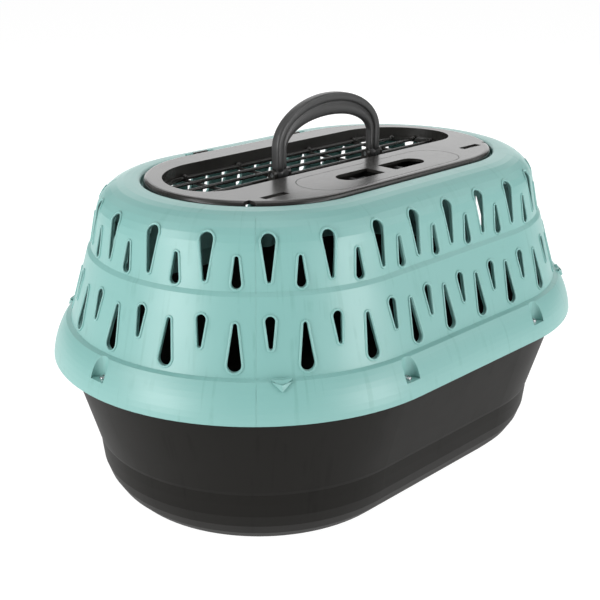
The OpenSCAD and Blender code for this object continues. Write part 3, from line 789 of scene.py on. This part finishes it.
@dataclass
class CarryHandle:
    """The folding handle: an outer band, a groove, and an inner band with a round edge, in mm.

    Three arches shape it. They run along its inner edge, its middle and its outer edge.
    """

    # half widths of the arches at their feet, and heights of their tops over the pivot
    half_in: float = 52.5
    half_mid: float = 57.5
    half_out: float = 64.5
    top_in: float = 41.3
    top_mid: float = 53.5
    top_out: float = 60.5
    # heights where the straight legs end and the arches start
    inner_line: float = 19.2
    spring_line: float = 21.2
    # place of the pivot, as Y and Z
    pivot: Point = (-2.0, 275.219)
    foot_r: float = 4.5
    bore_r: float = 2.06
    foot_sides: int = 32
    leg_foot: float = 2.4
    leg_steps: int = 5
    arch_steps: int = 44
    # thickness of the band's two ends against the rest of it
    end_slim: float = 0.86
    # place between the arches, 0 on the inner one, 1 on the middle and 2 on the outer one,
    # and half the thickness there
    profile: tuple[Point, ...] = (
        (2.0, 2.2),
        (1.97, 3.3),
        (1.88, 4.1),
        (1.72, 4.45),
        (1.4, 4.5),
        (1.14, 4.45),
        (1.04, 4.1),
        (1.0, 3.2),
        (0.96, 2.6),
        (0.88, 2.6),
        (0.8, 3.15),
        (0.5, 3.4),
        (0.22, 3.2),
        (0.07, 2.5),
        (0.0, 1.2),
    )

    @property
    def last(self) -> int:
        """Number of the last cross-section."""
        return 2 * self.leg_steps + self.arch_steps

    @property
    def rim(self) -> list[Point]:
        """The whole cross-section, front and back."""
        return list(self.profile) + [(part, -y) for part, y in reversed(self.profile)]

    def station(self, step: int) -> tuple[Vector, Vector, Vector]:
        """Find where a cross-section stands.

        Args:
            step: Number of the cross-section, from the right foot to the left one.

        Returns:
            Its points on the inner, middle and outer arch, from the pivot.
        """
        halves = (self.half_in, self.half_mid, self.half_out)
        tops = (self.top_in, self.top_mid, self.top_out)
        lines = (self.inner_line, self.spring_line, self.spring_line)
        side = 1.0
        if step > self.leg_steps + self.arch_steps:
            step, side = self.last - step, -1.0
        if step <= self.leg_steps:
            part = step / self.leg_steps
            made = [
                Vector((side * half, self.leg_foot + (line - self.leg_foot) * part))
                for half, line in zip(halves, lines)
            ]
        else:
            angle = math.pi * (step - self.leg_steps) / self.arch_steps
            made = [
                Vector((half * math.cos(angle), line + (top - line) * math.sin(angle)))
                for half, top, line in zip(halves, tops, lines)
            ]
        return made[0], made[1], made[2]

    def place(self, step: int, corner: int) -> Vector:
        """Find a point of the band.

        Args:
            step: Number of the cross-section, from the right foot to the left one.
            corner: Number of the point round the cross-section.

        Returns:
            The point, in metres.
        """
        inner, middle, outer = self.station(step)
        part, y = self.rim[corner]
        flat = inner.lerp(middle, part) if part <= 1 else middle.lerp(outer, part - 1)
        slim = self.end_slim if step in (0, self.last) else 1.0
        return Vector((flat.x, self.pivot[0] + y * slim, self.pivot[1] + flat.y)) * MM

    def add_foot(self, bm: bmesh.types.BMesh, side: int) -> None:
        """Add the bored barrel of one foot.

        Args:
            bm: The mesh that takes it.
            side: Which foot, -1 or 1.
        """
        middle = side * (self.half_in + self.half_out) / 2
        width = self.half_out - self.half_in
        start = Vector((middle - width / 2, self.pivot[0], self.pivot[1])) * MM
        turn = Matrix.Translation(start) @ Matrix.Rotation(math.radians(90), 4, "Y")
        loops = []
        for radius in (self.foot_r, self.bore_r):
            loops += edges_at(
                bmesh.ops.create_circle(
                    bm, segments=self.foot_sides, radius=radius * MM, matrix=turn
                )["verts"]
            )
        ring = bmesh.ops.bridge_loops(bm, edges=loops)["faces"]
        grown = bmesh.ops.extrude_face_region(bm, geom=ring, use_keep_orig=True)["geom"]
        bmesh.ops.translate(bm, verts=verts_in(grown), vec=(width * MM, 0.0, 0.0))

    def build(self, finish: bpy.types.Material) -> bpy.types.Object:
        """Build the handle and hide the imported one."""
        bm = bmesh.new()
        bm.verts.layers.int.new("corner")
        sweep(bm, len(self.rim), self.last, self.place)
        for side in (-1, 1):
            self.add_foot(bm, side)
        piece = finish_piece(bm, "handle_band", "carry_handle", finish)
        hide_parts("handle")
        return piece


@dataclass
class CaseScrews:
    """Pan-head screws with a cross recess, one in every scoop, in mm."""

    # distance from the centre of a round end, and turn of the outer two from square
    ring_r: float = 166.0
    screw_turn: float = math.radians(1.8)
    floor: float = 147.5
    head_r: float = 3.2
    head_h: float = 2.4
    # share of the head's height that its upright rim takes
    rim_share: float = 0.55
    shank_r: float = 1.5
    shank_foot: float = 136.5
    # the head's top is a grid, and the cross's half width and reach are counted in its cells
    cells: int = 9
    cross_half: float = 0.5
    cross_reach: float = 2.5
    recess: float = 1.3
    # turn of an end's first cross and from one to the next, in radians
    first_cross: float = 0.35
    next_cross: float = 0.6

    def add_screw(self, bm: bmesh.types.BMesh, place: Vector, turn: float) -> None:
        """Add one screw.

        Args:
            bm: The mesh that takes it.
            place: Where its head sits, in mm.
            turn: How far its cross is turned, in radians.
        """
        made = bmesh.ops.create_grid(
            bm, x_segments=self.cells, y_segments=self.cells, size=1.0
        )["verts"]
        cell = 2.0 / self.cells
        cross = []
        for face in dict.fromkeys(face for vert in made for face in vert.link_faces):
            x, y = (abs(v) / cell for v in face.calc_center_median()[:2])
            if min(x, y) < self.cross_half and max(x, y) < self.cross_reach:
                cross.append(face)
        # the square grid becomes a round, domed head
        for vert in made:
            reach = max(abs(vert.co.x), abs(vert.co.y))
            flat = Vector((vert.co.x, vert.co.y)).normalized() * reach * self.head_r
            dome = self.rim_share + (1 - self.rim_share) * math.sqrt(max(0.0, 1 - reach**2))
            vert.co = Vector((flat.x, flat.y, self.head_h * dome))
        sunk = verts_in(bmesh.ops.extrude_face_region(bm, geom=cross)["geom"])
        bmesh.ops.delete(bm, geom=[f for f in cross if f.is_valid], context="FACES_ONLY")
        bmesh.ops.translate(bm, verts=sunk, vec=(0.0, 0.0, -self.recess))
        kept = [vert for vert in made if vert.is_valid]
        whole = list(dict.fromkeys(kept + sunk))
        rim = [edge for edge in edges_at(kept) if edge.is_boundary]
        for radius, height in (
            (self.head_r, 0.0),
            (self.shank_r, 0.0),
            (self.shank_r, self.shank_foot - self.floor),
        ):
            grown = bmesh.ops.extrude_edge_only(bm, edges=rim)["geom"]
            verts = verts_in(grown)
            rim = edges_between(grown, verts)
            for vert in verts:
                flat = Vector((vert.co.x, vert.co.y)).normalized() * radius
                vert.co = Vector((flat.x, flat.y, height))
            whole += verts
        bmesh.ops.contextual_create(bm, geom=rim)
        bmesh.ops.rotate(
            bm, verts=whole, cent=(0.0, 0.0, 0.0), matrix=Matrix.Rotation(turn, 3, "Z")
        )
        bmesh.ops.translate(bm, verts=whole, vec=place)
        bmesh.ops.scale(bm, verts=whole, vec=(MM, MM, MM))

    def build(self, finish: bpy.types.Material) -> bpy.types.Object:
        """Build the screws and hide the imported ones."""
        bm = bmesh.new()
        quarter = math.pi / 2 - self.screw_turn
        for end in (-1, 1):
            for i, angle in enumerate((0.0, quarter, -quarter)):
                way = end_turn(end) + end * angle
                x = end * END_X + self.ring_r * math.cos(way)
                place = Vector((x, self.ring_r * math.sin(way), self.floor))
                self.add_screw(bm, place, self.first_cross + self.next_cross * i + end)
        piece = finish_piece(bm, "pan_head_screws", "case", finish, smooth=False)
        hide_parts("case_screws")
        return piece


@dataclass
class GrilleClips:
    """Round snap clips where the grille's bars meet the window's wall, in mm."""

    # the window: half its length, and its far and near sides from the lid's centre line
    half: float = 161.0
    far: float = 66.7
    near: float = 26.6
    far_r: float = 62.0
    near_r: float = 32.0
    # height of the grille's seat in the lid, and of the clips' middles over it
    seat: float = 267.219
    rise: float = 2.6
    # distance from the window's wall to the clips' middles
    inside: float = 2.6
    radius: float = 2.5
    # height of a clip against its width
    flatten: float = 0.9
    bars: tuple[float, ...] = (-9.4, 8.8, 27.0, 45.2)
    crosses: tuple[float, ...] = (-107.4, -45.0, 45.0, 107.4)

    def reach(self, y: float) -> float:
        """Find half the window's length at a distance from the lid's long centre line."""
        turn_y = self.near_r - self.near
        radius = self.far_r if y > turn_y else self.near_r
        centre = self.far - self.far_r if y > turn_y else turn_y
        return self.half - radius + math.sqrt(max(0.0, radius**2 - (y - centre) ** 2))

    def depth(self, x: float) -> float:
        """Find how far the window's far side is from the centre line, at a place along it."""
        beyond = max(0.0, abs(x) - (self.half - self.far_r))
        return self.far - self.far_r + math.sqrt(self.far_r**2 - beyond**2)

    def build(self, finish: bpy.types.Material) -> bpy.types.Object:
        """Build the clips as one piece."""
        bm = bmesh.new()
        spots = [(s * (self.reach(y) - self.inside), y) for y in self.bars for s in (-1, 1)]
        spots += [(x, self.depth(x) - self.inside) for x in self.crosses]
        for x, y in spots:
            place = Matrix.Translation(Vector((x, y, self.seat + self.rise)) * MM)
            shape = place @ Matrix.Diagonal((1.0, 1.0, self.flatten, 1.0))
            bmesh.ops.create_uvsphere(
                bm, u_segments=12, v_segments=8, radius=self.radius * MM, matrix=shape
            )
        return finish_piece(bm, "grille_clips", "lid", finish)


@dataclass(frozen=True)
class SoftBox:
    """A square soft light.

    Its bearing is counted from the camera's and its rise from the ground, both in degrees.
    Its size is in metres and its power in watts.
    """

    name: str
    bearing: float
    rise: float
    size: float
    power: float


@dataclass
class Studio:
    """Floor, lights and camera."""

    # the camera: lens and sensor in mm, pitch and heading in degrees, and its place in mm
    lens: float = 66.214
    sensor: float = 36.0
    pitch: float = 19.898
    heading: float = 44.376
    place: tuple[float, float, float] = (-691.3, -644.7, 489.2)
    # the floor: half its side in metres, its colour, gloss and glow
    floor_size: float = 60.0
    paper_hex: str = "7C7C7C"
    paper_rough: float = 0.9
    paper_gloss: float = 0.1
    glow: float = 0.97
    # strength of the light from all round
    surround: float = 0.06
    # the soft boxes stand this far, in metres, from a point this high over the ground
    reach: float = 2.4
    aim: float = 0.15
    boxes: tuple[SoftBox, ...] = (
        SoftBox("right_low", 60.0, 9.0, 1.1, 29.0),
        SoftBox("right_side", 90.0, 32.0, 1.0, 8.0),
        SoftBox("right_high", 72.0, 56.0, 1.0, 5.0),
        SoftBox("left_low", -48.0, 9.0, 1.0, 27.0),
        SoftBox("left_side", -62.0, 30.0, 0.9, 16.0),
        SoftBox("left_high", -90.0, 57.0, 1.0, 4.0),
        SoftBox("overhead", 0.0, 90.0, 1.4, 11.0),
        SoftBox("back_right", 125.0, 30.0, 1.0, 3.0),
        SoftBox("back_left", -130.0, 28.0, 1.0, 2.0),
        SoftBox("back_sheet", 180.0, 19.0, 2.6, 32.0),
    )

    def build(self) -> None:
        """Make the floor, the lights and the camera."""
        self.make_floor()
        self.make_world()
        for box in self.boxes:
            self.make_light(box)
        self.make_camera()
        bpy.context.scene.view_settings.view_transform = "Standard"

    def make_floor(self) -> None:
        """Lay the pale floor under the object."""
        mesh = bpy.data.meshes.new("floor")
        bm = bmesh.new()
        bmesh.ops.create_grid(bm, x_segments=1, y_segments=1, size=self.floor_size)
        bm.to_mesh(mesh)
        bm.free()
        floor = bpy.data.objects.new("floor", mesh)
        bpy.context.scene.collection.objects.link(floor)
        paper = bpy.data.materials.new("white_paper")
        paper.use_nodes = True
        shader = paper.node_tree.nodes["Principled BSDF"]
        shader.inputs["Base Color"].default_value = linear(self.paper_hex)
        shader.inputs["Emission Color"].default_value = WHITE
        shader.inputs["Emission Strength"].default_value = self.glow
        shader.inputs["Roughness"].default_value = self.paper_rough
        shader.inputs["Specular IOR Level"].default_value = self.paper_gloss
        mesh.materials.append(paper)

    def make_world(self) -> None:
        """Surround the object with soft white light, and leave the backdrop white."""
        world = bpy.data.worlds.new("studio")
        world.use_nodes = True
        tree = world.node_tree
        tree.nodes.clear()
        path = add_node(tree, "ShaderNodeLightPath")
        soft = add_node(
            tree, "ShaderNodeBackground", {"Color": WHITE, "Strength": self.surround}
        )
        white = add_node(tree, "ShaderNodeBackground", {"Color": WHITE, "Strength": 1.0})
        mix = add_node(
            tree,
            "ShaderNodeMixShader",
            links={0: path.outputs["Is Camera Ray"], 1: soft.outputs[0], 2: white.outputs[0]},
        )
        add_node(tree, "ShaderNodeOutputWorld", links={"Surface": mix.outputs[0]})
        bpy.context.scene.world = world

    def make_light(self, box: SoftBox) -> None:
        """Hang one soft box, aimed at the object.

        Args:
            box: The soft box.
        """
        bearing = math.atan2(self.place[1], self.place[0]) + math.radians(box.bearing)
        rise = math.radians(box.rise)
        way = Vector(
            (math.cos(bearing) * math.cos(rise), math.sin(bearing) * math.cos(rise), math.sin(rise))
        )
        data = bpy.data.lights.new(box.name, "AREA")
        data.shape = "SQUARE"
        data.size = box.size
        data.energy = box.power
        light = bpy.data.objects.new(box.name, data)
        light.location = way * self.reach + Vector((0.0, 0.0, self.aim))
        light.rotation_mode = "QUATERNION"
        light.rotation_quaternion = (-way).to_track_quat("-Z", "Y")
        bpy.context.scene.collection.objects.link(light)

    def make_camera(self) -> None:
        """Set the camera where the photograph was taken from."""
        data = bpy.data.cameras.new("camera")
        data.lens = self.lens
        data.sensor_width = self.sensor
        camera = bpy.data.objects.new("camera", data)
        camera.location = Vector(self.place) * MM
        camera.rotation_euler = (
            math.radians(90 - self.pitch),
            0.0,
            math.radians(self.heading - 90),
        )
        bpy.context.scene.collection.objects.link(camera)
        bpy.context.scene.camera = camera


def main() -> None:
    """Build the scene in order."""
    logging.basicConfig(level=logging.INFO, format="%(message)s")
    Studio().build()
    materials = {finish: finish.value.make() for finish in Finish}
    for node, finish in DRESSED.items():
        dress(node, materials[finish])
    case = CaseShape()
    VentLips(case).build(materials[Finish.SHELL])
    MouldLines(case).build(materials[Finish.SHELL])
    FlangeWedges(case).build(materials[Finish.SHELL])
    CaseScrews().build(materials[Finish.SCREW])
    CarryHandle().build(materials[Finish.HANDLE])
    GrilleClips().build(materials[Finish.LID])


if __name__ == "__main__":
    main()
